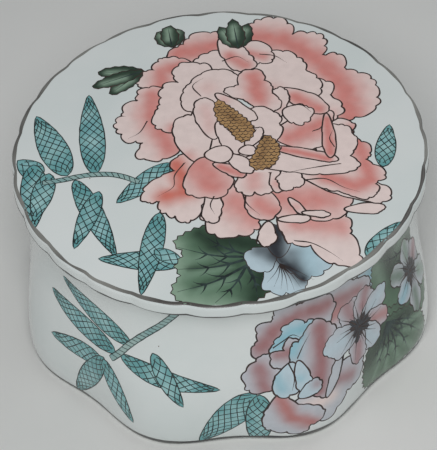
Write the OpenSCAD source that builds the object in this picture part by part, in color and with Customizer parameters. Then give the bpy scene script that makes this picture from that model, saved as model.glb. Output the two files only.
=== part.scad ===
// Round porcelain trinket box: a waisted body on an eight-lobed foot, and a scalloped lift-off lid.
// Frame: origin at the centre of the foot underside, +Z up, front towards -Y. Units are millimetres.

/* [Body] */
// mean radius of the foot, between a lobe crown and a notch
foot_r = 53.2; // [51:0.1:55]
// how far a foot lobe swings either side of the mean radius
lobe_swing = 1.75; // [0.6:0.05:2.4]
// radius of the body at its waist
waist_r = 48.2; // [47.6:0.1:49]
// height of the body's rim, which the lid rests on
body_h = 49.5; // [44:0.1:56]
// radius of the round mouth
mouth_r = 44.8; // [44.2:0.1:45]
// depth of the recess under the base
foot_recess = 2; // [1:0.1:2.4]
// radius of the recess under the base
recess_r = 44; // [40:0.5:46]
// height of the inside floor above the table
floor_z = 5.5; // [5:0.1:7]
// thickness of the body's wall, at its thinnest
wall = 3.4; // [2.8:0.1:3.8]

/* [Lid] */
// radius of the lid over its scallop crowns
lid_r = 52.7; // [51:0.1:55]
// depth of a scallop cusp below the crowns
scallop_depth = 0.55; // [0.2:0.05:1]
// height of the lid's upright edge band
band_h = 4.3; // [3.8:0.1:6]
// rise of the lid's top from the edge to the centre
dome_h = 0.9; // [0.4:0.1:3]
// outer radius of the locating flange under the lid
flange_r = 44; // [43:0.1:44]
// wall thickness of the locating flange
flange_w = 3; // [2.4:0.1:4]
// drop of the locating flange below the rim
flange_drop = 4.6; // [3:0.1:8]
// thickness of the lid's plate above the flange recess
plate_t = 3.6; // [3:0.1:4.4]

/* [Hidden] */
lobes = 8;
lobe_turn = -22.5;          // crowns at 22.5 degrees, so a notch faces the front
scallops = 24;
scallop_turn = 4;           // angle of the first cusp
cusp_sharpness = 1.4;       // higher makes narrower cusps between the scallops
body_seg = 120;             // points round a ring of the body
lid_seg = 144;              // points round a ring of the lid
round_seg = 180;            // segments round a turned surface
cut = 1;                    // how far a cutter reaches past the face it opens
top_z = body_h + band_h;    // shoulder of the lid, where the edge meets the top
glaze = [0.86, 0.89, 0.88];
glaze_lid = [0.90, 0.93, 0.92];

// ---- rings and skins -------------------------------------------------

// radius of a lobed ring: a soft wave round the mean radius
function lobed(r, swing, a) = r + swing * cos(lobes * (a + lobe_turn));

// radius of a scalloped ring: rounded crowns meeting at cusps
function scalloped(r, depth, a) =
  r - depth * pow(1 - abs(sin(scallops / 2 * (a - scallop_turn))), cusp_sharpness);

function lobed_ring(z, r, swing) =
  [for (i = [0 : body_seg - 1]) let (a = 360 * i / body_seg, q = lobed(r, swing, a))
    [q * cos(a), q * sin(a), z]];

function scalloped_ring(z, r, depth) =
  [for (i = [0 : lid_seg - 1]) let (a = scallop_turn + 360 * i / lid_seg, q = scalloped(r, depth, a))
    [q * cos(a), q * sin(a), z]];

// a closed skin through rings of n points each, listed from the bottom up
module skin(rings, n) {
  last = len(rings) - 1;
  points = [for (ring = rings) each ring];
  sides = [for (j = [0 : last - 1], i = [0 : n - 1]) let (k = (i + 1) % n, lo = j * n, up = lo + n)
    each [[lo + i, up + i, up + k], [lo + i, up + k, lo + k]]];
  bottom = [[for (i = [0 : n - 1]) i]];
  top = [[for (i = [n - 1 : -1 : 0]) last * n + i]];
  polyhedron(points = points, faces = concat(bottom, sides, top), convexity = 6);
}

// ---- box body: outer skin, interior, recessed base ---------------------

// height as a share of the body, radius as a share of the way from waist to foot, share of the swing
body_rings = [
  [0.000, 0.80, 0.90], [0.020, 0.96, 1.00], [0.060, 1.04, 1.00], [0.150, 1.10, 0.96],
  [0.270, 1.04, 0.80], [0.390, 0.88, 0.60], [0.500, 0.60, 0.40], [0.610, 0.30, 0.24],
  [0.720, 0.08, 0.12], [0.830, 0.00, 0.06], [0.930, 0.02, 0.02], [0.980, 0.06, 0.00],
  [0.994, 0.03, 0.00], [1.000, -0.05, 0.00]];

function body_radius(s) = waist_r + s * (foot_r - waist_r);

module body_skin() {
  skin([for (b = body_rings) lobed_ring(b[0] * body_h, body_radius(b[1]), b[2] * lobe_swing)], body_seg);
}

// radius of the round interior low down, clear of the notches between the lobes
floor_r = foot_r - wall - lobe_swing;
corner_r = 5;               // the floor curves up into the wall over this much
corner_sag = 0.3 * corner_r; // how far the middle of that curve lies from the floor and the wall
belly = [0.25, 0.65];       // shares of the height between which the inside follows the outside
mouth_low = 0.74;           // the mouth is a plain cylinder above this share of the height
rim_chamfer = 0.5;

module interior() {
  rotate_extrude($fn = round_seg)
    polygon(concat(
      [[0, floor_z], [floor_r - corner_r, floor_z], [floor_r - corner_sag, floor_z + corner_sag],
       [floor_r, floor_z + corner_r]],
      [for (b = body_rings) if (b[0] > belly[0] && b[0] < belly[1])
        [body_radius(b[1]) - wall - b[2] * lobe_swing, b[0] * body_h]],
      [[mouth_r, mouth_low * body_h], [mouth_r, body_h - rim_chamfer],
       [mouth_r + 2 * rim_chamfer, body_h + rim_chamfer], [0, body_h + rim_chamfer]]));
}

module box_body() {
  color(glaze) difference() {
    body_skin();
    interior();
    translate([0, 0, -cut]) cylinder(r = recess_r, h = cut + foot_recess, $fn = round_seg);
  }
}

// ---- lid: scalloped plate with a locating flange -----------------------

// height below the shoulder as a share of the band, inset of the radius, share of the scallop
lid_rings = [
  [1.00, 1.30, 0.50], [0.94, 0.40, 0.90], [0.80, 0.00, 1.00], [0.25, 0.00, 1.00],
  [0.08, 0.30, 1.00], [0.00, 0.95, 0.90]];

// distance in from the edge, and rise as a share of the dome
top_rings = [[4.5, 0.16, 0.4], [14, 0.48, 0], [28, 0.80, 0], [44, 0.98, 0]];

module lid_skin() {
  skin(concat(
    [for (b = lid_rings)
      scalloped_ring(top_z - b[0] * band_h, lid_r - b[1], b[2] * scallop_depth)],
    [for (b = top_rings)
      scalloped_ring(top_z + b[1] * dome_h, lid_r - b[0], b[2] * scallop_depth)]), lid_seg);
}

flange_in = flange_r - flange_w;
flange_low = body_h - flange_drop;
flange_chamfer = 0.6;
flange_root = 0.6;          // how far the flange runs up into the plate
recess_top = top_z + top_rings[0][1] * dome_h - plate_t;

module flange() {
  rotate_extrude($fn = round_seg)
    polygon([
      [flange_in, body_h + flange_root], [flange_in, flange_low + flange_chamfer],
      [flange_in + flange_chamfer, flange_low], [flange_r - flange_chamfer, flange_low],
      [flange_r, flange_low + flange_chamfer], [flange_r, body_h + flange_root]]);
}

module lid() {
  color(glaze_lid) union() {
    difference() {
      lid_skin();
      translate([0, 0, body_h - cut]) cylinder(r = flange_in, h = cut + recess_top - body_h, $fn = round_seg);
    }
    flange();
  }
}

box_body();
lid();
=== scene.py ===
"""A round porcelain trinket box: glazed body and scalloped lid, with a fired-on peony and bamboo pattern.

Lengths are millimetres until a mesh is made. The lid is painted on its flat (x, y) plan, and the body on its
unrolled wall (u, z), where u is the distance round the wall from the front and z the height.
"""
import math

import bpy
import numpy as np
from mathutils import Matrix, Vector, noise
from mathutils.geometry import delaunay_2d_cdt


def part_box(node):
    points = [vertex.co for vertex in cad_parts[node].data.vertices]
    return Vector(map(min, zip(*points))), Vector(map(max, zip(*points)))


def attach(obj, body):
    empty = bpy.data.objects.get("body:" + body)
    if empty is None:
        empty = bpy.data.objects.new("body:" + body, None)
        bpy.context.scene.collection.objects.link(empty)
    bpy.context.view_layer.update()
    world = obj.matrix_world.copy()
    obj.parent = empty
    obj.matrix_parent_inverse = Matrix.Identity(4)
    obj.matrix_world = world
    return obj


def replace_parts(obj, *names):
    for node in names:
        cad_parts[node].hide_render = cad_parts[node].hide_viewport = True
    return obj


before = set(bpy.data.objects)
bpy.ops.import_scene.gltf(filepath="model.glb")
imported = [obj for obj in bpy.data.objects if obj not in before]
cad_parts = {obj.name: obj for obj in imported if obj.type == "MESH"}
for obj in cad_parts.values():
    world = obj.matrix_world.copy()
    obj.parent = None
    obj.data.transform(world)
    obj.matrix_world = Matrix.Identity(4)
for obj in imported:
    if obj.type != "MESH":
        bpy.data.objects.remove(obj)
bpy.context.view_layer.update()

MM = 0.001
BODY_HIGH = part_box("box_body")[1] / MM
LID_LOW, LID_HIGH = (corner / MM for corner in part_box("lid"))

# body
BODY_H = BODY_HIGH.z
FOOT_R = 53.2
WAIST_R = 48.2
MOUTH_R = 44.8
BELLY_R = 48.1              # the inside at its widest, and the height of that as a share of the body
BELLY_AT = 0.42
INSIDE_FLOOR_R = 47.8
MOUTH_AT = 0.74             # the mouth is a plain cylinder above this share of the height
BODY_STEPS = 256            # points round a ring
LOBES = 8
LOBE_SWING = 1.75
CROWN_ANGLE = 22.5
RECESS_R = 44.0
RECESS = 2.0
FLOOR_Z = 5.5

# lid
NEAREST_CROWN = 3.5         # degrees between the X axis and the nearest scallop crown
LID_R = (LID_HIGH.x - LID_LOW.x) / 2 / math.cos(math.radians(NEAREST_CROWN))
DOME = 0.9
TOP_Z = LID_HIGH.z - DOME
EDGE = 0.9
SCALLOPS = 24
SCALLOP_DEPTH = 0.55
CUSP_ANGLE = 4.0
FLANGE_R = 44.0
FLANGE_W = 3.0
FLANGE_LOW = LID_LOW.z
PLATE = 3.4
RECESS_TOP = TOP_Z - PLATE
CURL = 0.75                 # how far the side curls in at the seat, and the height where that begins
CURL_H = 1.1
FADE = 5                    # the scallops die out over about this far in from the edge
LID_STEPS = 384

# paint
PAINT_LIFT = 0.03
PAINT_EMBED = 0.07
BAND_LIFT = 0.05            # fired lines, and the painted shade under the lid's edge, lie over the painting
LID_MARGIN = 1.0            # bare glaze left at the lid's edge, the foot and the rim of the body
FOOT_MARGIN = 1.5
RIM_MARGIN = 0.8
HALF_WALL = 80              # how far round a wall painting may reach each way
GRID = 1.0                  # spacing of the mosaic's inner points
INK_W = 0.42
UNROLL_R = 52.0
DEGREE = math.radians(1) * UNROLL_R     # millimetres of u in one degree of the wall

# camera
CAMERA_LENS = 170.2
CAMERA_PLACE = (0.0, -379.3, 435.5)
CAMERA_AIM = (-1.4, 13.2, 11.5)
CAMERA_ROLL = -3.43


def srgb(r, g, b):
    """A colour as seen on screen, 0 to 1, as linear light."""
    return tuple(c / 12.92 if c <= 0.04045 else ((c + 0.055) / 1.055) ** 2.4 for c in (r, g, b))


PALE = srgb(0.975, 0.895, 0.875)
PINK = srgb(0.90, 0.57, 0.54)
SALMON = srgb(0.89, 0.50, 0.44)
TEAL = srgb(0.47, 0.70, 0.70)
PALE_TEAL = srgb(0.68, 0.84, 0.84)
GREEN = srgb(0.13, 0.23, 0.16)
MID_GREEN = srgb(0.34, 0.47, 0.37)
SAGE = srgb(0.50, 0.62, 0.53)
PALE_GREEN = srgb(0.62, 0.73, 0.64)
OCHRE = srgb(0.74, 0.58, 0.38)
BROWN = srgb(0.46, 0.31, 0.17)
ROSE = srgb(0.67, 0.47, 0.48)
BLUE = srgb(0.60, 0.80, 0.86)
PALE_BLUE = srgb(0.79, 0.87, 0.91)
MIST = srgb(0.80, 0.82, 0.85)
DUSK = srgb(0.76, 0.50, 0.49)
SLATE = srgb(0.17, 0.18, 0.21)
STEM = srgb(0.66, 0.76, 0.74)


# ---- surfaces of the two pieces ----------------------------

# height as a share of the body, radius as a share of the way from waist to foot, share of the lobe swing
WALL_SHAPE = np.array([
    (0.00, 0.84, 0.90), (0.02, 0.96, 1.00), (0.06, 1.05, 1.00), (0.15, 1.10, 0.96), (0.27, 1.04, 0.80),
    (0.39, 0.86, 0.60), (0.50, 0.60, 0.40), (0.61, 0.31, 0.24), (0.72, 0.09, 0.12), (0.83, 0.00, 0.06),
    (0.93, 0.02, 0.02), (1.00, 0.04, 0.00)])


def smooth_through(xs, ys, x):
    """A smooth curve through the points (xs, ys), read at x."""
    slope = np.gradient(ys, xs)
    i = np.clip(np.searchsorted(xs, x) - 1, 0, len(xs) - 2)
    step = xs[i + 1] - xs[i]
    t = (np.asarray(x) - xs[i]) / step
    return ((2 * t**3 - 3 * t**2 + 1) * ys[i] + (t**3 - 2 * t**2 + t) * step * slope[i]
            + (3 * t**2 - 2 * t**3) * ys[i + 1] + (t**3 - t**2) * step * slope[i + 1])


def wall_radius(z):
    share = smooth_through(WALL_SHAPE[:, 0], WALL_SHAPE[:, 1], z / BODY_H)
    return WAIST_R + share * (FOOT_R - WAIST_R)


def wall_swing(z):
    return LOBE_SWING * np.clip(smooth_through(WALL_SHAPE[:, 0], WALL_SHAPE[:, 2], z / BODY_H), 0, 1)


def lobe_wave(angle):
    return np.cos(LOBES * np.radians(angle - CROWN_ANGLE))


def scallop_wave(angle):
    """0 at a scallop's crown, -1 at a cusp."""
    return -(1 - np.abs(np.sin(np.radians(angle - CUSP_ANGLE) * SCALLOPS / 2))) ** 1.4


def dome_height(r):
    return TOP_Z + DOME * (1 - (r / LID_R) ** 2)


def on_wall(u, z, lift):
    """A point of the body's wall, lifted off the glaze."""
    angle = 270 + u / DEGREE
    r = wall_radius(z) + wall_swing(z) * lobe_wave(angle) + lift
    return np.column_stack([r * np.cos(np.radians(angle)), r * np.sin(np.radians(angle)), z])


def on_lid(x, y, lift):
    """A point of the lid's top, lifted off the glaze."""
    return np.column_stack([x, y, dome_height(np.hypot(x, y)) + lift])


# ---- materials ----------------------------

def shader(name, roughness, coat=0.0):
    """A new material, with its nodes, its links and its Principled shader."""
    material = bpy.data.materials.new(name)
    material.use_nodes = True
    nodes, links = material.node_tree.nodes, material.node_tree.links
    principled = nodes["Principled BSDF"]
    principled.inputs["Roughness"].default_value = roughness
    principled.inputs["Coat Weight"].default_value = coat
    principled.inputs["Coat Roughness"].default_value = 0.06
    return material, nodes, links, principled


def add_noise(nodes, links, scale, detail=3.0):
    coords = nodes.new("ShaderNodeTexCoord")
    texture = nodes.new("ShaderNodeTexNoise")
    texture.inputs["Scale"].default_value = scale
    texture.inputs["Detail"].default_value = detail
    links.new(coords.outputs["Object"], texture.inputs["Vector"])
    return texture


def add_bump(nodes, links, principled, height, strength, distance):
    bump = nodes.new("ShaderNodeBump")
    bump.inputs["Strength"].default_value = strength
    bump.inputs["Distance"].default_value = distance
    links.new(height, bump.inputs["Height"])
    links.new(bump.outputs["Normal"], principled.inputs["Normal"])


def add_ramp(nodes, links, value, stops):
    ramp = nodes.new("ShaderNodeValToRGB")
    while len(ramp.color_ramp.elements) < len(stops):
        ramp.color_ramp.elements.new(0.5)
    for element, (place, colour) in zip(ramp.color_ramp.elements, stops):
        element.position = place
        element.color = (*colour, 1)
    links.new(value, ramp.inputs["Fac"])
    return ramp.outputs["Color"]


def glaze_material():
    """Cool white glaze, faintly uneven, with the odd iron speck."""
    material, nodes, links, principled = shader("porcelain_glaze", 0.16, coat=0.5)
    tint = add_ramp(nodes, links, add_noise(nodes, links, 45).outputs["Fac"],
                    [(0.35, srgb(0.885, 0.915, 0.91)), (0.65, srgb(0.915, 0.935, 0.93))])
    coords = nodes.new("ShaderNodeTexCoord")
    specks = nodes.new("ShaderNodeTexVoronoi")
    specks.inputs["Scale"].default_value = 90
    links.new(coords.outputs["Object"], specks.inputs["Vector"])
    spot = nodes.new("ShaderNodeMath")
    spot.operation = "LESS_THAN"
    spot.inputs[1].default_value = 0.016
    links.new(specks.outputs["Distance"], spot.inputs[0])
    mix = nodes.new("ShaderNodeMix")
    mix.data_type = "RGBA"
    links.new(spot.outputs[0], mix.inputs["Factor"])
    links.new(tint, mix.inputs["A"])
    mix.inputs["B"].default_value = (*srgb(0.42, 0.36, 0.30), 1)
    links.new(mix.outputs["Result"], principled.inputs["Base Color"])
    add_bump(nodes, links, principled, add_noise(nodes, links, 130, 1.0).outputs["Fac"], 0.12, 0.0003)
    return material


def biscuit_material():
    """Bare fired clay where the glaze was wiped away: warm, matt and slightly gritty."""
    material, nodes, links, principled = shader("biscuit", 0.75)
    grit = add_noise(nodes, links, 1600, 4.0)
    tint = add_ramp(nodes, links, grit.outputs["Fac"],
                    [(0.3, srgb(0.86, 0.845, 0.81)), (0.7, srgb(0.90, 0.89, 0.86))])
    links.new(tint, principled.inputs["Base Color"])
    add_bump(nodes, links, principled, grit.outputs["Fac"], 0.4, 0.0001)
    return material


def enamel_material(name, roughness=0.2, pool=(0.93, 0.93, 0.93), scale=420):
    """A wash of enamel: its colour is painted on the mesh, and pools and thins a little as it fired."""
    material, nodes, links, principled = shader(name, roughness, coat=0.3)
    paint = nodes.new("ShaderNodeVertexColor")
    paint.layer_name = "paint"
    pooling = add_ramp(nodes, links, add_noise(nodes, links, scale, 5.0).outputs["Fac"],
                       [(0.36, pool), (0.64, (1.0, 1.0, 1.0))])
    mix = nodes.new("ShaderNodeMix")
    mix.data_type = "RGBA"
    mix.blend_type = "MULTIPLY"
    mix.inputs["Factor"].default_value = 1.0
    links.new(paint.outputs["Color"], mix.inputs["A"])
    links.new(pooling, mix.inputs["B"])
    links.new(mix.outputs["Result"], principled.inputs["Base Color"])
    return material


def line_material(name, dark, light, scale):
    """A fired line, dark where the brush was full and lighter where it ran dry; also used for the painted shade
    under the lid's edge.
    """
    material, nodes, links, principled = shader(name, 0.3)
    tint = add_ramp(nodes, links, add_noise(nodes, links, scale).outputs["Fac"],
                    [(0.4, dark), (0.7, light)])
    links.new(tint, principled.inputs["Base Color"])
    return material


# ---- mesh helpers ----------------------------

def make_piece(name, points, faces, materials, body):
    mesh = bpy.data.meshes.new(name)
    mesh.from_pydata((np.asarray(points) * MM).tolist(), [], faces)
    for material in materials:
        mesh.materials.append(material)
    mesh.polygons.foreach_set("use_smooth", [True] * len(mesh.polygons))
    mesh.update()
    mesh.set_sharp_from_angle(angle=math.radians(35))
    piece = bpy.data.objects.new(name, mesh)
    bpy.context.scene.collection.objects.link(piece)
    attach(piece, body)
    return piece


def filleted(corners, steps=5):
    """A path of (radius, height, wave share) through corners of (radius, height, wave share, fillet)."""
    path = []
    for i, (r, z, wave, fillet) in enumerate(corners):
        here = np.array([r, z])
        if fillet == 0 or i in (0, len(corners) - 1):
            path.append((r, z, wave))
            continue
        before = np.array(corners[i - 1][:2]) - here
        after = np.array(corners[i + 1][:2]) - here
        start = here + before / np.linalg.norm(before) * min(fillet, 0.5 * np.linalg.norm(before))
        end = here + after / np.linalg.norm(after) * min(fillet, 0.5 * np.linalg.norm(after))
        for k in range(steps + 1):
            t = k / steps
            bend = (1 - t) ** 2 * start + 2 * t * (1 - t) * here + t**2 * end
            path.append((*bend, wave))
    return path


def turned(name, path, wave, segments, body, bare):
    """A closed shell turned from a path that starts and ends on the axis. bare(r, z, up) tells unglazed faces."""
    angles = np.arange(segments) * 360 / segments
    rings = [np.column_stack([(r + share * wave(angles)) * np.cos(np.radians(angles)),
                              (r + share * wave(angles)) * np.sin(np.radians(angles)),
                              np.full(segments, z)]) for r, z, share in path[1:-1]]
    points = np.vstack([[(0, 0, path[0][1])], *rings, [(0, 0, path[-1][1])]])
    last = len(points) - 1
    faces = []
    for i in range(segments):
        k = (i + 1) % segments
        faces.append((0, 1 + k, 1 + i))
        faces.append((last, last - segments + i, last - segments + k))
    for j in range(len(rings) - 1):
        low, high = 1 + j * segments, 1 + (j + 1) * segments
        for i in range(segments):
            k = (i + 1) % segments
            faces.append((low + i, low + k, high + k, high + i))
    piece = make_piece(name, points, faces, [GLAZE, BISCUIT], body)
    for polygon in piece.data.polygons:
        centre = polygon.center / MM
        if bare(math.hypot(centre.x, centre.y), centre.z, polygon.normal.z):
            polygon.material_index = 1
    return piece


# ---- the two porcelain pieces ----------------------------

def make_body():
    outside = [(wall_radius(z), z, wall_swing(z), 0) for z in np.linspace(0.012, 0.985, 60) * BODY_H]
    corners = [
        (0, RECESS, 0, 0), (RECESS_R, RECESS, 0, 1.0), (RECESS_R + 0.4, 0, 0, 0.5),
        (wall_radius(0.0) - 0.4, 0, LOBE_SWING, 0.3), *outside,
        (wall_radius(BODY_H) - 0.2, BODY_H, 0, 0.5), (MOUTH_R + 0.1, BODY_H, 0, 0.6),
        (MOUTH_R, MOUTH_AT * BODY_H, 0, 5), (BELLY_R, BELLY_AT * BODY_H, 0.3, 8),
        (INSIDE_FLOOR_R, FLOOR_Z, 0.3, 7),
        (0, FLOOR_Z, 0, 0)]

    def bare(r, z, up):
        foot_ring = up < -0.8 and z < 0.3
        seat = up > 0.9 and z > BODY_H - 0.2
        return foot_ring or seat

    piece = turned("body_porcelain", filleted(corners), lobe_wave, BODY_STEPS, "body", bare)
    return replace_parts(piece, "box_body")


def make_lid():
    inner = FLANGE_R - FLANGE_W
    under = filleted([
        (0, RECESS_TOP, 0, 0), (inner, RECESS_TOP, 0, 1.5), (inner, FLANGE_LOW, 0, 0.6),
        (FLANGE_R, FLANGE_LOW, 0, 0.6), (FLANGE_R, BODY_H, 0, 0.4), (LID_R - 1.6, BODY_H, SCALLOP_DEPTH, 0),
        *((hem_radius(z), BODY_H + z, SCALLOP_DEPTH, 0) for z in np.linspace(0, 1.2, 7)),
        (LID_R, TOP_Z - EDGE - 0.6, SCALLOP_DEPTH, 0)])
    rounded = [EDGE * (1 - math.cos(math.radians(a))) for a in range(0, 91, 15)]
    top = [shoulder_point(inset) for inset in rounded + [1.6, 2.6, 4, 6, 9, 13]]
    top += [(r, dome_height(r), 0) for r in range(35, 0, -5)]
    path = under + top + [(0, dome_height(0), 0)]

    def bare(r, z, up):
        seat = up < -0.8 and z < BODY_H + 0.1 and r > FLANGE_R
        flange_end = up < -0.8 and z < FLANGE_LOW + 0.2
        return seat or flange_end

    piece = turned("lid_porcelain", path, scallop_wave, LID_STEPS, "lid", bare)
    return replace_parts(piece, "lid")


def edge_height(inset):
    """Height of the lid's top at a distance in from its edge, with the edge rounded over."""
    drop = EDGE - math.sqrt(EDGE**2 - max(EDGE - inset, 0) ** 2)
    return dome_height(LID_R - inset) - drop


def shoulder_point(inset):
    """Radius, height and wave share of the lid's top at a distance in from its edge."""
    return LID_R - inset, edge_height(inset), SCALLOP_DEPTH * math.exp(-inset / FADE)


# ---- drawing: paths and shapes on a plan ----------------------------

def turn(vector):
    """The vector turned a quarter left."""
    return np.array([-vector[1], vector[0]])


def curve(points, closed=False, step=0.5):
    """A smooth path through the points, evenly stepped."""
    p = np.array(points, float)
    if closed:
        p = np.vstack([p[-1], p, p[0], p[1]])
    else:
        p = np.vstack([2 * p[0] - p[1], p, 2 * p[-1] - p[-2]])
    out = []
    for a, b, c, d in zip(p, p[1:], p[2:], p[3:]):
        count = max(2, int(np.linalg.norm(c - b) / step))
        t = (np.arange(count) / count)[:, None]
        out.append(0.5 * (2 * b + (c - a) * t + (2 * a - 5 * b + 4 * c - d) * t**2
                          + (3 * b - a - 3 * c + d) * t**3))
    return np.vstack(out + ([] if closed else [p[-2][None]]))


def petal(base, tip, width, ruffle=0.6, bow=0.0):
    """A petal's outline: an egg from base to tip, with a ruffled far edge and a bowed middle line."""
    base, tip = np.array(base, float), np.array(tip, float)
    axis = tip - base
    length = np.linalg.norm(axis)
    along, across = axis / length, turn(axis / length)
    girth = (length + width) * math.pi / 2
    theta = np.linspace(0, 2 * math.pi, max(24, int(girth / 0.45)), endpoint=False)
    seed = 0.37 * base[0] + 0.61 * tip[1] + 0.13 * tip[0]
    reach = (1 - np.cos(theta)) / 2
    far = np.clip((reach - 0.2) / 0.4, 0, 1)
    drift = np.array([noise.noise(Vector((2 * math.cos(a), 2 * math.sin(a), 5 * seed))) for a in theta])
    phase = max(2, round(girth / 9)) * theta + 3.0 * drift + seed
    bumps = np.abs(np.sin(phase)) ** 0.7 - 0.6 + 1.1 * drift + 0.3 * np.sin(5 * theta + 3 * seed)
    grow = min(1.3 * ruffle, width / 12) * far * bumps
    s = length * reach - grow * np.cos(theta)
    w = (width / 2 * (0.84 - 0.24 * np.cos(theta)) + grow) * np.sin(theta)
    w = w - 4 * bow * length * reach * (1 - reach)
    return base + np.outer(s, along) + np.outer(w, across)


def lens(base, tip, half_width, bow=0.0, blunt=0.75):
    """A bamboo leaf: its outline, and a function from (along, across) on the leaf to the plan."""
    base, tip = np.array(base, float), np.array(tip, float)
    axis = tip - base
    across = turn(axis / np.linalg.norm(axis))

    def at(t, s):
        t, s = np.asarray(t, float), np.asarray(s, float)
        width = half_width * np.sin(math.pi * t**blunt) ** 0.75
        return base + np.outer(t, axis) + np.outer(s * width + 4 * bow * t * (1 - t), across)

    t = np.linspace(0.0, 1.0, max(12, int(np.linalg.norm(axis) / 0.7)))
    outline = np.vstack([at(t, np.ones_like(t)), at(t[-2:0:-1], -np.ones(len(t) - 2))])
    return outline, at


def gap_to(p, path):
    """Distance of each point from a path."""
    path = np.array(path, float)
    if len(path) == 1:
        return np.linalg.norm(p - path[0], axis=1)
    a, d = path[:-1], np.diff(path, axis=0)
    t = np.clip(((p[:, None] - a) * d).sum(axis=2) / np.maximum((d**2).sum(axis=1), 1e-9), 0, 1)
    return np.linalg.norm(p[:, None] - a - t[..., None] * d, axis=2).min(axis=1)


def wash(base, *coats, grain=0.12):
    """A colour function: a base, then coats of (colour, path, radius, strength) brushed along their paths."""
    def tone(p):
        shade = np.tile(np.array(base), (len(p), 1))
        for colour, path, radius, strength in coats:
            rough = np.array([noise.noise(Vector((x * 0.4, y * 0.4, radius))) for x, y in p])
            reach = gap_to(p, path) / (radius * (1 + 0.15 * rough))
            amount = np.clip(strength * np.exp(-reach**2) * (1 + grain * rough), 0, 1)[:, None]
            shade = shade * (1 - amount) + np.array(colour) * amount
        return shade

    return tone


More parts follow.
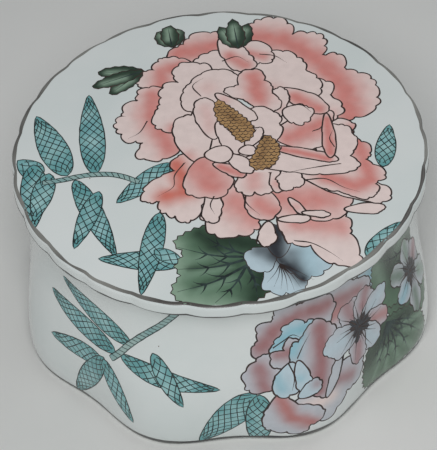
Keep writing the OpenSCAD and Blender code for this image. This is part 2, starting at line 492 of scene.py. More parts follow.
class Sheet:
    """Enamel on one surface: fills and strokes, each hiding what lies under it, cut into one flat mosaic."""

    def __init__(self, place, prefix, body, edge):
        self.place, self.prefix, self.body, self.edge = place, prefix, body, edge
        self.layers = []

    def fill(self, outline, tone, group):
        self.layers.append({"kind": "fill", "path": np.array(outline), "tone": tone, "group": group})

    def stroke(self, path, width=INK_W, group="ink", taper=0.0, closed=False):
        """A brush line along a path, swelling and thinning a little; taper thins its last part."""
        path = np.array(path, float)
        if closed:
            path = np.vstack([path, path[:1]])
        along = np.linspace(0, 1, len(path))
        sway = np.array([noise.noise(Vector((x * 0.45, y * 0.45, 7.0))) for x, y in path])
        half = width / 2 * (1 + 0.38 * sway)
        if taper:
            half = half * np.clip((1 - along) / taper, 0.15, 1)
        self.layers.append({"kind": "stroke", "path": path, "half": half, "group": group})

    def shape(self, outlines, tone, group, ink=INK_W, ink_group="ink"):
        """Outlines merged into one filled shape, with ink only round the whole."""
        for outline in outlines:
            self.stroke(outline, 2 * ink, ink_group, closed=True)
        for outline in outlines:
            self.fill(outline, tone, group)

    def make(self, finishes):
        """Cuts the layers into a mosaic and makes one piece of each group. finishes: group -> (material, slot)."""
        points = self.edge.tolist()
        edges = [(i, (i + 1) % len(points)) for i in range(len(points))]
        for layer in self.layers:
            path = layer["path"]
            if layer["kind"] == "stroke":
                ahead = np.gradient(path, axis=0)
                ahead = ahead / np.maximum(np.linalg.norm(ahead, axis=1), 1e-9)[:, None]
                side = np.column_stack([-ahead[:, 1], ahead[:, 0]]) * layer["half"][:, None]
                path = np.vstack([path + side, (path - side)[::-1]])
            start = len(points)
            points += path.tolist()
            edges += [(start + i, start + (i + 1) % len(path)) for i in range(len(path))]
        points += self.grid_points()
        corners, _, triangles, *_ = delaunay_2d_cdt([Vector(p) for p in points], edges, [], 0, 1e-4, False)
        corners = np.array([tuple(c) for c in corners])
        triangles = np.array(triangles)
        owner = self.owners(corners[triangles].mean(axis=1))
        made = []
        for group, (material, slot) in finishes.items():
            members = [k for k, layer in enumerate(self.layers) if layer["group"] == group]
            mine = np.isin(owner, members)
            if mine.any():
                made.append(self.slab(group, corners, triangles[mine], owner[mine], material))
        return made

    def grid_points(self):
        fills = [layer["path"] for layer in self.layers if layer["kind"] == "fill"]
        low = np.min([f.min(axis=0) for f in fills], axis=0)
        high = np.max([f.max(axis=0) for f in fills], axis=0)
        xs, ys = np.meshgrid(np.arange(low[0], high[0], GRID), np.arange(low[1], high[1], GRID * 0.87))
        xs = xs + (np.arange(len(xs)) % 2)[:, None] * GRID / 2
        spots = np.column_stack([xs.ravel(), ys.ravel()])
        wanted = np.zeros(len(spots), bool)
        for f in fills:
            wanted |= within(spots, f)
        return spots[wanted & within(spots, self.edge)].tolist()

    def owners(self, centres):
        """The topmost layer over each centre, or -1."""
        owner = np.full(len(centres), -1)
        on_surface = within(centres, self.edge)
        for k in range(len(self.layers) - 1, -1, -1):
            layer = self.layers[k]
            reach = layer["half"].max() if layer["kind"] == "stroke" else 0
            low, high = layer["path"].min(axis=0) - reach, layer["path"].max(axis=0) + reach
            near = np.flatnonzero((owner < 0) & on_surface & (centres >= low).all(axis=1)
                                  & (centres <= high).all(axis=1))
            if len(near) == 0:
                continue
            if layer["kind"] == "fill":
                hit = within(centres[near], layer["path"])
            else:
                hit = near_path(centres[near], layer["path"], layer["half"])
            owner[near[hit]] = k
        return owner

    def slab(self, group, corners, triangles, owner, material):
        """A thin closed slab of enamel over some triangles, coloured where its layers have a tone."""
        used, local = np.unique(triangles, return_inverse=True)
        local = local.reshape(triangles.shape)
        count = len(used)
        x, y = corners[used].T
        points = np.vstack([self.place(x, y, PAINT_LIFT), self.place(x, y, -PAINT_EMBED)])
        directed = {(a, b) for t in local.tolist() for a, b in zip(t, t[1:] + t[:1])}
        walls = [(a, a + count, b + count, b) for a, b in directed if (b, a) not in directed]
        walls.sort()
        faces = local.tolist() + (local[:, ::-1] + count).tolist() + walls
        piece = make_piece(f"{self.prefix}_{group}", points, faces, [material], self.body)
        if any("tone" in self.layers[k] for k in np.unique(owner)):
            self.colour(piece, corners[used], local, owner, walls)
        return piece

    def colour(self, piece, plan, local, owner, walls):
        count = len(plan)
        tints = np.ones((len(local), 3, 4))
        by_point = np.ones((count, 4))
        for k in np.unique(owner):
            rows = np.flatnonzero(owner == k)
            spots, place = np.unique(local[rows], return_inverse=True)
            shades = self.layers[k]["tone"](plan[spots])
            tints[rows, :, :3] = shades[place.reshape(len(rows), 3)]
            by_point[spots, :3] = shades
        rest = [v % count for face in (local[:, ::-1].tolist() + walls) for v in face]
        colours = np.vstack([tints.reshape(-1, 4), by_point[rest]])
        layer = piece.data.color_attributes.new("paint", "FLOAT_COLOR", "CORNER")
        layer.data.foreach_set("color", colours.ravel())


def within(p, outline):
    """Which points lie inside a closed outline."""
    hit = np.zeros(len(p), bool)
    low, high = outline.min(axis=0), outline.max(axis=0)
    near = np.flatnonzero((p >= low).all(axis=1) & (p <= high).all(axis=1))
    x, y = p[near, 0][:, None], p[near, 1][:, None]
    ax, ay = outline[:, 0], outline[:, 1]
    bx, by = np.roll(ax, -1), np.roll(ay, -1)
    rise = np.where(by == ay, 1e-12, by - ay)
    crosses = ((ay > y) != (by > y)) & (x < (bx - ax) * (y - ay) / rise + ax)
    hit[near] = crosses.sum(axis=1) % 2 == 1
    return hit


def near_path(p, path, half):
    """Which points lie within a path's own half width of it."""
    a, d = path[:-1], np.diff(path, axis=0)
    size = np.maximum((d**2).sum(axis=1), 1e-12)
    t = np.clip(((p[:, None] - a) * d).sum(axis=2) / size, 0, 1)
    gap = np.linalg.norm(p[:, None] - a - t[..., None] * d, axis=2)
    reach = half[:-1] * (1 - t) + half[1:] * t
    return (gap <= reach).any(axis=1)


# ---- motifs ----------------------------

def bamboo_leaf(sheet, base, tip, half_width, bow=0.0, blunt=0.75):
    """A teal leaf, outlined and hatched with a crossed lattice."""
    outline, at = lens(base, tip, half_width, bow, blunt)
    length = math.dist(base, tip)
    middle = at(np.array([0.35, 0.7]), np.zeros(2)).tolist()
    tone = wash(TEAL, (PALE_TEAL, middle, half_width, 0.8), grain=0.9)
    sheet.shape([outline], tone, "bamboo", 0.3, "hatching")
    lean = 1.1 * half_width / length
    rows = max(3, round(length / 2.6))
    for direction in (1, -1):
        for k in range(-1, rows + 1):
            s = np.linspace(-1, 1, 5)
            t = (k + 0.5 * (direction < 0)) / rows + lean * (direction * s - 0.1 * s**2)
            keep = (t > 0.02) & (t < 0.97)
            if keep.sum() > 1:
                sheet.stroke(at(t[keep], 0.97 * s[keep]), 0.26, "hatching")


def rope_stem(sheet, points, width):
    """A stem drawn as two lines with slanting strokes between."""
    path = curve(points)
    ahead = np.gradient(path, axis=0)
    ahead /= np.linalg.norm(ahead, axis=1)[:, None]
    side = np.column_stack([-ahead[:, 1], ahead[:, 0]]) * width / 2
    outline = np.vstack([path + side, (path - side)[::-1]])
    sheet.shape([outline], wash(STEM), "bamboo", 0.26, "hatching")
    for i in range(1, len(path) - 3, 3):
        sheet.stroke([path[i] + side[i], path[i + 2] - side[i + 2]], 0.22, "hatching")


def serrated(points, step=2.0, depth=0.5):
    """A leaf edge: a smooth closed outline with saw teeth, two points each."""
    path = curve(points, closed=True, step=step / 2)
    ahead = np.roll(path, -1, axis=0) - np.roll(path, 1, axis=0)
    ahead /= np.linalg.norm(ahead, axis=1)[:, None]
    out = np.column_stack([ahead[:, 1], -ahead[:, 0]])
    x, y = path.T
    turning = np.sign(np.sum(x * np.roll(y, -1) - np.roll(x, -1) * y))
    tooth = np.where(np.arange(len(path)) % 2 == 0, depth, -0.4 * depth) * turning
    return path + out * tooth[:, None]


def veins(sheet, root, ends, width, branch=0.0):
    """Tapering veins from a root to each end, with a pair of side veins on each."""
    for end in ends:
        root_, end_ = np.array(root, float), np.array(end, float)
        axis = end_ - root_
        middle = root_ + 0.5 * axis + 0.06 * turn(axis)
        path = curve([root_, middle, end_])
        sheet.stroke(path, width, "hatching", taper=0.8)
        for share in (0.35, 0.6) if branch else ():
            start = path[int(share * len(path))]
            for hand in (1, -1):
                twig = branch * (0.8 * axis + hand * 0.7 * turn(axis)) * (1 - share)
                sheet.stroke(curve([start, start + 0.55 * twig + 0.08 * turn(twig), start + twig]),
                             width * 0.7,
                             "hatching", taper=0.9)


def sepal(sheet, base, tip, width):
    """A calyx of three dark pointed leaves, each with a pale streak."""
    base, tip = np.array(base, float), np.array(tip, float)
    for lean, size in ((0.42, 0.78), (-0.42, 0.78), (0.0, 1.0)):
        axis = size * ((tip - base) + lean * turn(tip - base))
        outline, at = lens(base, base + axis, 0.27 * width, 0.06 * lean, 0.9)
        streak = at(np.array([0.35, 0.75]), np.array([0.25, 0.1])).tolist()
        sheet.shape([serrated(outline[::3], 1.7, 0.22)],
                    wash(GREEN, (PALE_GREEN, streak, 0.13 * width, 0.85)), "leaves",
                    0.3)
        sheet.stroke(at(np.linspace(0.05, 0.9, 8), np.zeros(8)), 0.36, "hatching", taper=0.7)


def stamens(sheet, points):
    """A patch of ochre stamens under rows of small brown scales."""
    outline = serrated(points, 1.5, 0.3)
    sheet.shape([outline], wash(OCHRE, (BROWN, [points[0], points[len(points) // 2]], 1.2, 0.35),
                                grain=0.9),
                "stamens", 0.3)
    low, high = outline.min(axis=0), outline.max(axis=0)
    spots = [(x + 0.7 * (row % 2), low[1] + 1.05 * row)
             for row in range(int((high[1] - low[1]) / 1.05) + 1) for x in np.arange(low[0], high[0], 1.4)]
    for x, y in np.array(spots)[within(np.array(spots), outline)]:
        wobble = 0.9 * noise.noise(Vector((x, y, 3.0)))
        sweep = np.radians(np.linspace(200, 360, 6)) + wobble
        arc = np.column_stack([x + 0.62 * np.cos(sweep), y + 0.55 * np.sin(sweep)])
        sheet.stroke(arc, 0.24)


def peony(sheet, rows, group="petals"):
    """Petals from back to front. A row is the eggs merged into one petal, its base colour and its coats."""
    for eggs, base, *coats in rows:
        sheet.shape([petal(*egg) for egg in eggs], wash(base, *coats), group)


# ---- the lid's pattern ----------------------------

def lid_bamboo(sheet):
    for base, tip, half_width, bow in [
            ((-36.5, -8.5), (-26.5, -34.5), 2.6, 0.0), ((-30.5, -13), (-36.5, -31), 2.3, 0.0),
            ((-45, -6), (-51, 0), 2.8, 0.0), ((-47, -2), (-46.5, -23.5), 3.2, 0.08),
            ((-43, -5.5), (-46.5, -21), 2.6, -0.05),
            ((-38.5, -6.5), (-46.5, 15.5), 3.6, 0.03), ((-31.5, -6.5), (-33, 22), 3.1, 0.0),
            ((-12, -5), (-26, -17), 3.0, 0.05), ((-10, -38), (-30.5, -35), 2.8, 0.0),
            ((-15.5, -21.5), (-20.5, -47), 2.6, 0.0), ((40.5, -9.5), (43.5, 5), 2.4, 0.0),
            ((34, -39), (43, -28.5), 2.3, 0.0), ((-17, -33.5), (-10, -38.5), 1.8, 0.0)]:
        bamboo_leaf(sheet, base, tip, half_width, bow)
    rope_stem(sheet, [(-44.5, -8.5), (-40, -8), (-34, -7), (-29, -7), (-25, -8), (-20.5, -10.5)], 1.2)


def lid_leaf(sheet):
    edge = serrated([(-5, -27), (-12, -31), (-10, -35), (-12, -39), (-11, -42), (-13, -46), (-11, -50),
                     (-4, -52),
                     (4, -51.5), (9, -49), (11, -43), (9, -35), (3, -29)])
    tone = wash(MID_GREEN, (PALE_GREEN, [(-13, -32), (-12, -38), (-14, -45), (-10, -51), (0, -53)], 3.4,
                            0.85),
                (SAGE, [(-9, -37), (-1, -36)], 1.5, 0.8), (SAGE, [(-9, -42), (0, -40)], 1.5, 0.8),
                (SAGE, [(-7, -47), (1, -44)], 1.5, 0.7),
                (GREEN, [(-1, -31), (7, -33), (9, -42), (7, -50)], 4.0, 1.0),
                (GREEN, [(-6, -29), (-2, -34)], 2.4, 0.9),
                (GREEN, [(3, -39), (-9, -40)], 0.8, 0.6), (GREEN, [(3, -41), (-8, -46)], 0.8, 0.6))
    sheet.shape([edge], tone, "leaves", 0.28)
    veins(sheet, (7, -37.5), [(-6, -29), (-11.5, -33), (-11.5, -40)], 0.8, 0.42)
    veins(sheet, (5, -40), [(-12, -47), (-3, -51), (7, -50)], 0.8, 0.42)


def lid_sepals(sheet):
    for base, tip, width in [((-11, 39), (-12, 48), 8), ((6.5, 37), (5.5, 48.5), 8.5),
                             ((-19, 30), (-32.5, 25), 7.5)]:
        sepal(sheet, base, tip, width)


def blue_flower(sheet, centre, blooms, core, rays):
    """A violet: pale blue petals round a near-black core, with fine rays on one of them."""
    for eggs, *coats in blooms:
        sheet.shape([petal(*egg) for egg in eggs], wash(PALE_BLUE, *coats, (SLATE, core, 1.9, 0.97)),
                    "blue_flower", 0.22)
    for end in rays:
        sheet.stroke(curve([centre, ((centre[0] + end[0]) / 2 + 0.4, (centre[1] + end[1]) / 2), end]), 0.24,
                     taper=0.7)


def lid_violet(sheet):
    core = [(12.5, -29), (11.5, -34), (12.5, -38), (18, -45)]
    blooms = [
        ([((12, -37), (16, -49), 13, 0.9)],),
        ([((12, -36), (24.5, -41), 13, 0.9), ((14, -36), (21, -34.5), 8)],
         (BLUE, [(20, -37), (20, -44)], 4.0, 0.35), (SLATE, [(16, -37), (17, -42)], 2.2, 0.6)),
        ([((12, -36), (5.5, -40), 9, 0.8)], (SLATE, [(11, -37), (8, -35)], 2.6, 0.75)),
        ([((13, -38), (13, -27.5), 7.5)], (SLATE, [(12, -36), (13, -29)], 3.6, 0.95))]
    rays = [(x, -48.5 + 0.09 * (x - 15) ** 2) for x in np.arange(9.5, 22, 1.6)]
    blue_flower(sheet, (13, -40), blooms, core, rays)


def lid_peony(sheet):
    peony(sheet, [
        ([((13, 20), (15.5, 48.5), 17, 0.9), ((14, 18), (27, 42), 13, 0.9), ((16, 16), (33.5, 31), 14, 0.9),
          ((16, 14), (40, 22), 15, 0.9), ((16, 12), (41.5, 16), 16, 0.9)], PALE,
         (PINK, [(10, 41), (19, 39), (27, 31), (33, 20), (34, 9)], 5.0, 1.0)),
        ([((2, 26), (-3, 43.5), 18), ((0, 26), (-11, 38), 11)], PALE,
         (PINK, [(-9, 36), (0, 38)], 4.6, 1.0)),
        ([((0, 20), (-20, 27), 12), ((2, 20), (-15, 33.5), 10)], PALE,
         (PINK, [(-9, 31), (-14, 29), (-14, 24)], 3.4, 0.95)),
        ([((-2, 12), (-26.5, 8), 14, 0.9), ((-3, 12), (-24, 15), 12, 0.9), ((-3, 16), (-20.5, 21), 9),
          ((-4, 6), (-20.5, -1), 9)], PALE, (PINK, [(-16, 20), (-17, 13), (-14, 5), (-12, 0)], 3.8, 0.95)),
        ([((2, -12), (2, -31), 17, 0.9)], PALE, (PINK, [(3, -19), (8, -25)], 5.0, 0.85)),
        ([((16, -22), (31.5, -41.5), 10, 0.8), ((14, -22), (30.5, -30), 11), ((14, -24), (21, -34), 9)],
         PALE,
         (PINK, [(18, -27), (28, -29)], 3.6, 0.8)),
        ([((14, -8), (29.5, -25), 17, 0.5), ((12, -16), (18, -24), 10)], PALE,
         (PINK, [(15, -19), (26, -20)], 5.5, 0.9)),
        ([((20, -11), (41.5, -20), 8)], PALE),
        ([((30, -23.5), (39.5, -23.5), 3.6)], PALE),
        ([((22, 0), (34, 6), 8), ((20, -2), (38, -4), 10), ((18, -6), (40.5, -13), 10),
          ((18, -9), (38.5, -18.5), 8)], PALE, (PINK, [(34, 3), (36, -6), (37, -14), (33, -16), (26, -12)],
                                                2.9, 1.0)),
        ([((11, -26.5), (10, -34), 4.6)], PALE),
        ([((-6, -5), (-9.5, -25), 9, 0.9), ((-8, -6), (-13.5, -22.5), 8, 0.9), ((-7, -7), (-19, -17), 8),
          ((-7, -8), (-11, -3), 7, 0.2)], PALE, (SALMON, [(-14, -16), (-9, -15), (-11, -5)], 3.0, 1.0)),
        ([((-2, -14), (-3, -25.5), 5.2)], PALE),
        ([((8, -14), (11, -25.5), 9, 0.3)], PALE, (PINK, [(9, -20), (12, -23)], 3.6, 0.9)),
        ([((8, -8), (6, -17), 7, 0.6), ((9, -8), (11, -17), 7, 0.6)], PALE,
         (PINK, [(8, -11), (8, -14)], 2.6, 0.6)),
        ([((13.5, -9), (14.5, -16.5), 4.4)], PALE, (PINK, [(14, -14)], 2.0, 0.6)),
        ([((17.5, -8), (17, -16), 7)], PALE),
        ([((13.5, -25.8), (21, -26), 2.6)], PALE),
        ([((16.5, -19), (20, -24.5), 2.2)], PALE, (PINK, [(18, -22)], 2.0, 0.5)),
        ([((19.5, -24), (26, -25), 2.0)], PALE),
        ])
    sheet.fill(petal((-9, 0), (27, 4), 28, 0.1), wash(PALE), "petals")
    peony(sheet, [
        ([((14, 8), (31.5, 14), 13, 0.8), ((16, 12), (29.5, 21), 11, 0.8)], PALE,
         (PINK, [(29, 10)], 2.5, 0.4)),
        ([((2, 20), (-1, 35.5), 16), ((6, 18), (9, 38), 16), ((10, 16), (20, 34), 16),
          ((12, 14), (25.5, 25), 14)],
         PALE, (PINK, [(8, 22), (14, 20)], 3.0, 0.4)),
        ([((2, 18), (-9, 31), 12), ((0, 14), (-14, 22), 13, 0.8), ((-2, 10), (-16, 13), 13, 0.8),
          ((-4, 12), (-11, 6.5), 8)], PALE, (PINK, [(-11, 7.5)], 2.2, 1.0)),
        ([((6, -5), (34.5, -8.5), 9, 0.4), ((26, -8), (31, 6), 9, 0.4), ((29, -8), (33, 3), 7, 0.4)], PALE),
        ([((14, 3), (28, 4), 13, 0.3), ((16, 2), (29, 10.5), 9, 0.3)], PALE,
         (PINK, [(18, 2), (26, 6)], 4.0, 0.95)),
        ([((17, 20), (28, 11), 7, 0.2)], PALE, (PINK, [(20, 17), (26, 12)], 2.4, 0.95)),
        ([((13, -1), (29.5, -6.5), 3.4)], PALE, (PINK, [(16, -2), (27, -6)], 1.4, 1.0)),
        ([((27.8, 10), (27.8, -5.5), 3.4)], PALE, (PINK, [(27.8, 8), (27.8, -4)], 1.8, 1.0)),
        ([((15, 9), (16.5, 20.5), 5.5)], PALE, (PINK, [(16, 13)], 2.0, 0.3)),
        ([((17, 12), (23.5, 9), 8, 0.8)], PALE),
        ([((1.5, 40), (15.5, 32), 9)], PALE, (PINK, [(4, 37), (13, 33)], 1.8, 0.85)),
        ([((2, 41), (9, 28), 8)], PALE, (PINK, [(4, 34), (8, 30)], 2.2, 0.9)),
        ([((4, 16), (-8.5, 21), 15, 0.3), ((2, 14), (-1, 28.5), 15, 0.3)], PALE,
         (PINK, [(-2, 22)], 3.0, 0.25)),
        ([((9, 18), (9.5, 28), 8, 0.3), ((5, 22), (16, 13), 7, 0.3), ((8, 20), (14.5, 20), 8, 0.3),
          ((10, 17), (2.5, 21), 4, 0.3)], PALE,
         (PINK, [(10, 25), (11, 17)], 3.3, 1.0)),
        ([((8, 3), (13, 13), 11, 0.3), ((8, 5), (16, 5), 10, 0.3)], PALE),
        ([((-5, -5), (-8, 12), 10.5, 0.3), ((-4, -2), (-5, 13), 7, 0.3)], PALE,
         (PINK, [(-8, -3)], 2.4, 0.6)),
        ([((-1, 3), (-3.5, 18), 7.5, 0.3)], PALE, (PINK, [(-3, 14), (-2, 7)], 2.2, 0.3)),
        ([((-4, -3.5), (-3, -17.5), 13, 0.5)], PALE, (PINK, [(-5, -7), (-2, -13)], 5.5, 0.95)),
        ([((0, 19.5), (9.5, 9), 4.4)], PALE, (PINK, [(2, 17)], 2.0, 0.4)),
        ([((0, 9), (5, -2.5), 6)], PALE),
        ([((7, -0.5), (10.5, 6), 4.2)], PALE),
        ([((-1.6, -5.8), (6, -10.5), 3.4)], PALE, (PINK, [(0, -7), (5, -10)], 1.6, 0.95)),
        ([((2, -3), (8, -9), 5.0, 0.3)], PALE),
        ([((-3.6, -2.6), (3, -2.6), 6.4, 0.1)], PALE)])
    for fold in [[(30, -8), (26, -8.5), (20, -9.5), (15, -10.5)],
                 [(21, -13), (26, -13), (30, -16), (34, -18)],
                 [(17, -33), (21, -34), (25, -37), (28, -40)],
                 [(-9, -5), (-11.5, -9), (-12, -13), (-16, -16)],
                 [(5, -16), (6, -20), (9, -24)], [(-4, 19), (-6, 23), (-3, 26)],
                 [(20, 14), (22, 13.5), (24, 11)],
                 [(-2, -17), (-3, -20), (-2, -23)], [(24, 4), (26, 5), (27, 8)],
                 [(12, 34), (16, 33), (19, 30)],
                 [(-18, 11), (-20, 7), (-23, 5)], [(29, -2), (28, 1), (29, 4)],
                 [(2, 32), (6, 33.5), (9, 31)]]:
        sheet.stroke(curve(fold), 0.36, taper=0.7)
    stamens(sheet, [(-0.5, 14), (0.5, 17), (3, 14.5), (6, 11), (9, 6), (7.5, 2), (5, 2), (3, 6), (0.5, 9)])
    sheet.shape([petal((5, -2), (9, -1.5), 3.8, 0.1)], wash(PALE), "petals")
    stamens(sheet, [(9, -8.5), (7.5, -6), (9, -3), (10.5, 1), (12.5, 3), (15, -1), (14, -6), (12, -8)])


# ---- the body's pattern ----------------------------

def wall_bamboo(sheet):
    for base, tip, half_width, bow in [
            ((-27, 31), (-52, 38.5), 2.8, 0.02), ((-31.5, 26.5), (-56.5, 31), 2.9, -0.02),
            ((-35, 21), (-53.5, 18.5), 2.7, 0.0), ((-35, 22.5), (-46, 1.5), 2.8, 0.0),
            ((-35, 22), (-25.5, 6.5), 2.4, 0.08), ((-29.5, 26.5), (-3.5, 21), 2.5, 0.02),
            ((-20.5, 30.5), (-12.5, 16), 2.1, 0.08), ((5.5, 19), (-9, 2), 4.0, -0.03),
            ((6.5, 18.5), (5.5, -3), 3.2, 0.0)]:
        bamboo_leaf(sheet, base, tip, half_width, bow)
    rope_stem(sheet, [(-13.5, 46), (-18, 40.5), (-23.5, 35), (-27.5, 30.5), (-30, 27), (-32.5, 24)], 1.4)


def wall_leaves(sheet):
    edge = serrated([(48.5, 20), (48.5, 30), (60, 31), (67, 27), (66, 19), (59, 14)])
    sheet.shape([edge], wash(MID_GREEN, (SAGE, [(64, 28), (66, 20)], 2.5, 0.9),
                             (GREEN, [(54, 24), (60, 22)], 4.0, 0.9)),
                "leaves", 0.28)
    veins(sheet, (54, 25), [(65, 27), (64, 19)], 0.5, 0.4)
    edge = serrated([(44, 41), (47, 44.5), (55, 43.5), (62, 41), (68, 35), (62, 30), (54, 25), (48, 25),
                     (44, 32)])
    sheet.shape([edge], wash(MID_GREEN, (SAGE, [(46, 41), (48, 34)], 2.5, 0.95),
                             (SAGE, [(55, 38), (63, 38)], 1.0, 0.6),
                             (GREEN, [(51, 42), (53, 32), (63, 33)], 4.0, 0.95)), "leaves", 0.28)
    veins(sheet, (62, 34), [(47, 41), (49, 33)], 0.6, 0.4)
    edge = serrated([(40, 20), (36, 12), (37, 4), (44, 2.5), (52, 3), (60, 5), (59, 14), (54, 20),
                     (46, 22)])
    ends = [(37.5, 10), (38.5, 5), (43, 3.5), (48, 3.5), (53, 4), (58, 7), (57, 13)]
    between = [(SAGE, [(46 + 0.45 * (x - 46), 20 + 0.45 * (z - 20)), (x + 2, z)], 0.9, 0.8) for x,
               z in ends[1:]]
    sheet.shape([edge], wash(MID_GREEN, (GREEN, [(38, 14), (45, 19), (54, 17)], 4.5, 0.95), *between),
                "leaves", 0.28)
    veins(sheet, (46, 21), ends, 0.7, 0.3)


def wall_violet(sheet, centre, petals, size):
    """A star of near-black strokes over petals of (direction, length, width, colour)."""
    x, y = centre
    for direction, length, width, colour in petals:
        a = math.radians(direction)
        tip = (x + length * math.cos(a), y + length * math.sin(a))
        sheet.shape([petal(centre, tip, width, 0.7)],
                    wash(MIST, (colour, [((x + tip[0]) / 2, (y + tip[1]) / 2), tip], 0.3 * width, 0.8),
                         (SLATE, [centre], 0.3 * length, 0.8)), "blue_flower", 0.3)
    for k in range(26):
        a = math.radians(14 * k + 5)
        reach = size * (0.75 + 0.35 * math.sin(2.3 * k))
        near = (x + 0.7 * reach * math.cos(a), y + 0.7 * reach * math.sin(a))
        far = (x + 1.4 * reach * math.cos(a + 0.1), y + 1.4 * reach * math.sin(a + 0.1))
        if k % 2:
            sheet.fill(petal(centre, near, 1.8, 0.1), wash(SLATE), "blue_flower")
        sheet.stroke(curve([centre, near, far]), 0.5, taper=0.9)


def wall_violets(sheet):
    wall_violet(sheet, (60, 27), [(150, 10, 7, MID_GREEN), (80, 9, 7, SAGE), (20, 9, 7, ROSE),
                                  (-40, 11, 7, SAGE),
                                  (-100, 12, 6, MID_GREEN), (-150, 9, 6, BLUE)], 5.5)
    wall_violet(sheet, (36.5, 27), [(110, 10, 9, ROSE), (65, 11, 8, ROSE), (25, 13, 7, PALE_BLUE),
                                    (-15, 11, 7, DUSK), (-60, 10, 8, PALE_BLUE), (-105, 10, 7, ROSE),
                                    (185, 12, 9, PALE_BLUE)], 6.0)


def wall_peony(sheet):
    peony(sheet, [
        ([((39, 34), (43, 44), 9)], PALE_BLUE, (BLUE, [(41, 39), (44, 41)], 2.8, 0.9)),
        ([((28, 30), (27, 44.5), 10, 0.9), ((30, 28), (34, 44.5), 13, 0.9), ((34, 30), (40.5, 41), 10)],
         MIST,
         (DUSK, [(26, 36), (31, 36)], 3.0, 0.9), (ROSE, [(28, 40), (38, 38)], 2.8, 0.9)),
        ([((20, 26), (6, 34), 10), ((20, 26), (9, 41), 11, 0.9), ((20, 28), (14, 45.5), 12, 0.9),
          ((22, 30), (24, 45.5), 14)], MIST, (ROSE, [(8, 33), (12, 38), (19, 41), (27, 40)], 3.4, 1.0)),
        ([((12, 22), (3.5, 25.5), 11, 0.9), ((12, 20), (8, 30.5), 8)], MIST,
         (ROSE, [(7, 27), (8, 20)], 2.8, 0.9)),
        ([((16, 16), (19, 9), 9), ((20, 17), (26, 7.5), 14, 0.8), ((26, 20), (35, 13), 11)], MIST,
         (PALE, [(18, 13), (24, 13)], 2.6, 0.9), (ROSE, [(27, 17), (31, 15)], 2.4, 0.8)),
        ([((12, 18.5), (10, 4.5), 8), ((12, 17), (16, 3.5), 8, 0.8), ((13, 14), (21, 7), 7)], MIST,
         (DUSK, [(11.5, 17), (14, 10), (19, 6)], 2.5, 1.0)),
        ([((21, 31), (10.5, 33), 7), ((20, 31), (15, 38.5), 8), ((20, 32), (22, 37.5), 6)], PALE_BLUE,
         (BLUE, [(12, 33), (16, 36), (21, 36)], 2.2, 1.0)),
        ([((18, 27), (10, 29.5), 6.5), ((17, 27), (15.5, 34), 5)], MIST,
         (ROSE, [(12, 30), (16, 30)], 2.2, 0.9)),
        ([((21, 15), (24, 36.5), 13, 0.5), ((20, 18), (17, 32), 7), ((22, 14), (28, 30), 9)], MIST,
         (BLUE, [(16, 30), (18, 34)], 2.6, 0.9), (ROSE, [(21, 17), (23, 24), (24.5, 34)], 3.2, 1.0)),
        ([((15.5, 27), (12, 17.5), 7.5)], PALE_BLUE, (BLUE, [(11, 24), (12, 20)], 1.6, 0.7)),
        ([((17, 27), (18.2, 17.5), 4.5)], PALE_BLUE, (BLUE, [(17, 22)], 1.4, 0.6)),
        ([((16, 16.5), (22, 19.5), 4.5)], PALE_BLUE, (ROSE, [(21, 19)], 1.8, 0.6)),
        ([((23, 13.5), (28.5, 23), 3.2)], MIST)])
    sheet.stroke(curve([(11, 32.5), (14, 34), (16.5, 35), (19, 33)]), 0.35, taper=0.5)
    sheet.stroke(curve([(14.5, 27), (15.5, 23), (14.5, 19)]), 0.4, taper=0.5)
    sheet.stroke(curve([(17, 28), (19, 31), (21.5, 34)]), 0.3, taper=0.6)


def paint(prefix, body, place, edge, motifs):
    sheet = Sheet(place, prefix, body, edge)
    for motif in motifs:
        motif(sheet)
    return sheet.make(FINISHES)


def make_band(name, rows, wave, segments, material, body):
    """A band round a piece: the fired lines, and the painted shade under the lid's edge. rows(angle) gives its
    (radius, height, wave share) from low to high.
    """
    angles = np.arange(segments) * 360 / segments
    points, faces = [], []
    for i, angle in enumerate(angles):
        outer = np.array(rows(angle))
        ring = np.vstack([outer + (BAND_LIFT, BAND_LIFT, 0), outer[::-1] - (PAINT_EMBED, PAINT_EMBED, 0)])
        radius = ring[:, 0] + ring[:, 2] * wave(angle)
        a = math.radians(angle)
        points += np.column_stack([radius * math.cos(a), radius * math.sin(a), ring[:, 1]]).tolist()
        n, k = len(ring), (i + 1) % segments
        faces += [(n * i + j, n * k + j, n * k + (j + 1) % n, n * i + (j + 1) % n) for j in range(n)]
    return make_piece(name, points, faces, [material], body)


def wobble(angle, size, seed):
    a = math.radians(angle)
    return size * noise.noise(Vector((9 * math.cos(a), 9 * math.sin(a), seed)))


def rim_rows(angle):
    """The line over the lid's rounded shoulder, from its outer edge in."""
    insets = np.linspace(0.3 + wobble(angle, 0.2, 1.0), 1.15 + wobble(angle, 0.5, 2.0), 7)
    return [shoulder_point(inset) for inset in insets]


def gap_shade_rows(angle):
    """Painted shade: a dark band round the lid's lower edge, standing in for the shadow in the gap where the lid
    sits on the body.
    """
    low, high = 0.2, 1.1 + wobble(angle, 0.6, 5.0)
    return [(hem_radius(z), BODY_H + z, SCALLOP_DEPTH) for z in np.linspace(low, high, 5)]


def hem_radius(z):
    """Radius of the lid's side at a height above its seat, where the side curls under."""
    return LID_R - CURL * max(1 - z / CURL_H, 0) ** 2


def foot_rows(angle):
    """The line just above the foot."""
    heights = np.linspace(1.2 + wobble(angle, 0.3, 3.0), 2.4 + wobble(angle, 0.5, 4.0), 4)
    return [(float(wall_radius(z)), z, float(wall_swing(z))) for z in heights]


# ---- the view ----------------------------

def soft_light(name, place, size, power, aim=(0, 0, 25)):
    light = bpy.data.lights.new(name, "AREA")
    light.shape = "DISK"
    light.size = size * MM
    light.energy = power
    lamp = bpy.data.objects.new(name, light)
    bpy.context.scene.collection.objects.link(lamp)
    lamp.location = Vector(place) * MM
    lamp.rotation_euler = (Vector(aim) - Vector(place)).to_track_quat("-Z", "Y").to_euler()


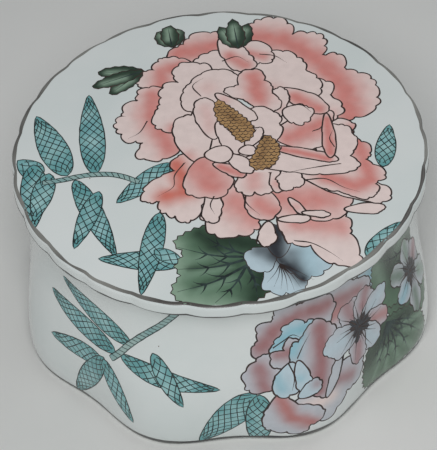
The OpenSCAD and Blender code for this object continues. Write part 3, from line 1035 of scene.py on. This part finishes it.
def make_floor():
    reach, drop, n = 1500.0, 0.05, 31
    steps = np.linspace(-reach, reach, n)
    points = [(x, y, -drop) for y in steps for x in steps]
    faces = [(k, k + 1, k + n + 1, k + n) for k in range(n * (n - 1)) if k % n < n - 1]
    mesh = bpy.data.meshes.new("floor")
    mesh.from_pydata((np.array(points) * MM).tolist(), [], faces)
    material, nodes, links, principled = shader("floor_paper", 0.8)
    paper = add_noise(nodes, links, 12, 4.0)
    tint = add_ramp(nodes, links, paper.outputs["Fac"],
                    [(0.3, srgb(0.90, 0.90, 0.89)), (0.7, srgb(0.92, 0.92, 0.91))])
    links.new(tint, principled.inputs["Base Color"])
    mesh.materials.append(material)
    floor = bpy.data.objects.new("floor", mesh)
    bpy.context.scene.collection.objects.link(floor)


def make_camera():
    data = bpy.data.cameras.new("camera")
    data.lens = CAMERA_LENS
    data.sensor_width = 36
    camera = bpy.data.objects.new("camera", data)
    bpy.context.scene.collection.objects.link(camera)
    place = Vector(CAMERA_PLACE)
    facing = (Vector(CAMERA_AIM) - place).to_track_quat("-Z", "Y").to_matrix()
    roll = Matrix.Rotation(math.radians(CAMERA_ROLL), 3, "Z")
    camera.rotation_euler = (facing @ roll).to_euler()
    camera.location = place * MM
    bpy.context.scene.camera = camera


def light_studio():
    world = bpy.data.worlds.new("studio")
    world.use_nodes = True
    world.node_tree.nodes["Background"].inputs["Color"].default_value = (0.80, 0.83, 0.85, 1)
    world.node_tree.nodes["Background"].inputs["Strength"].default_value = 0.31
    bpy.context.scene.world = world
    soft_light("key", (-30, -340, 470), 260, 1.27)
    soft_light("fill", (400, 350, 600), 500, 0.68)
    bpy.context.scene.view_settings.view_transform = "Standard"


GLAZE = glaze_material()
BISCUIT = biscuit_material()
RIM_LINE = line_material("rim_line", srgb(0.33, 0.32, 0.31), srgb(0.60, 0.60, 0.58), 45)
# a dark colour for the fired line above the foot, also used as painted shade for the gap under the lid
FOOT_LINE_AND_GAP_SHADE = line_material("foot_line_and_gap_shade", srgb(0.20, 0.20, 0.20), srgb(0.42, 0.42, 0.41), 60)
INK = line_material("ink", srgb(0.15, 0.10, 0.09), srgb(0.29, 0.21, 0.19), 300)
HATCH = line_material("hatch", srgb(0.10, 0.15, 0.15), srgb(0.23, 0.31, 0.30), 300)
FINISHES = {
    "petals": (enamel_material("pink_enamel", 0.32), "pink_enamel"),
    "bamboo": (enamel_material("teal_enamel", pool=(0.62, 0.80, 0.84), scale=150), "teal_enamel"),
    "leaves": (enamel_material("green_enamel"), "green_enamel"),
    "blue_flower": (enamel_material("blue_enamel"), "blue_enamel"),
    "stamens": (enamel_material("ochre_enamel", 0.32), "ochre_enamel"),
    "ink": (INK, "ink_line"),
    "hatching": (HATCH, "ink_line"),
}


def lid_edge():
    """The round edge of the lid's painted area."""
    a = np.radians(np.arange(0, 360, 1.5))
    return (LID_R - LID_MARGIN) * np.column_stack([np.cos(a), np.sin(a)])


def wall_edge():
    """The edge of the painted area of one half of the wall."""
    u = np.arange(-HALF_WALL, HALF_WALL, 1.0)
    low, high = np.full(len(u), FOOT_MARGIN), np.full(len(u), BODY_H - RIM_MARGIN)
    return np.column_stack([np.append(u, u[::-1]), np.append(low, high)])


def on_back_wall(u, z, lift):
    return on_wall(u + 180 * DEGREE, z, lift)


make_body()
make_lid()
make_band("lid_rim_line", rim_rows, scallop_wave, LID_STEPS, RIM_LINE, "lid")
# painted shade: a dark band on the lid's lower edge, in place of the shadow in the gap between lid and body
make_band("lid_gap_shade", gap_shade_rows, scallop_wave, LID_STEPS, FOOT_LINE_AND_GAP_SHADE, "lid")
make_band("body_foot_line", foot_rows, lobe_wave, BODY_STEPS, FOOT_LINE_AND_GAP_SHADE, "body")
paint("lid", "lid", on_lid, lid_edge(), [lid_bamboo, lid_leaf, lid_violet, lid_peony, lid_sepals])
wall_motifs = [wall_bamboo, wall_peony, wall_leaves, wall_violets]
paint("front", "body", on_wall, wall_edge(), wall_motifs)
paint("back", "body", on_back_wall, wall_edge(), wall_motifs)
make_floor()
make_camera()
light_studio()
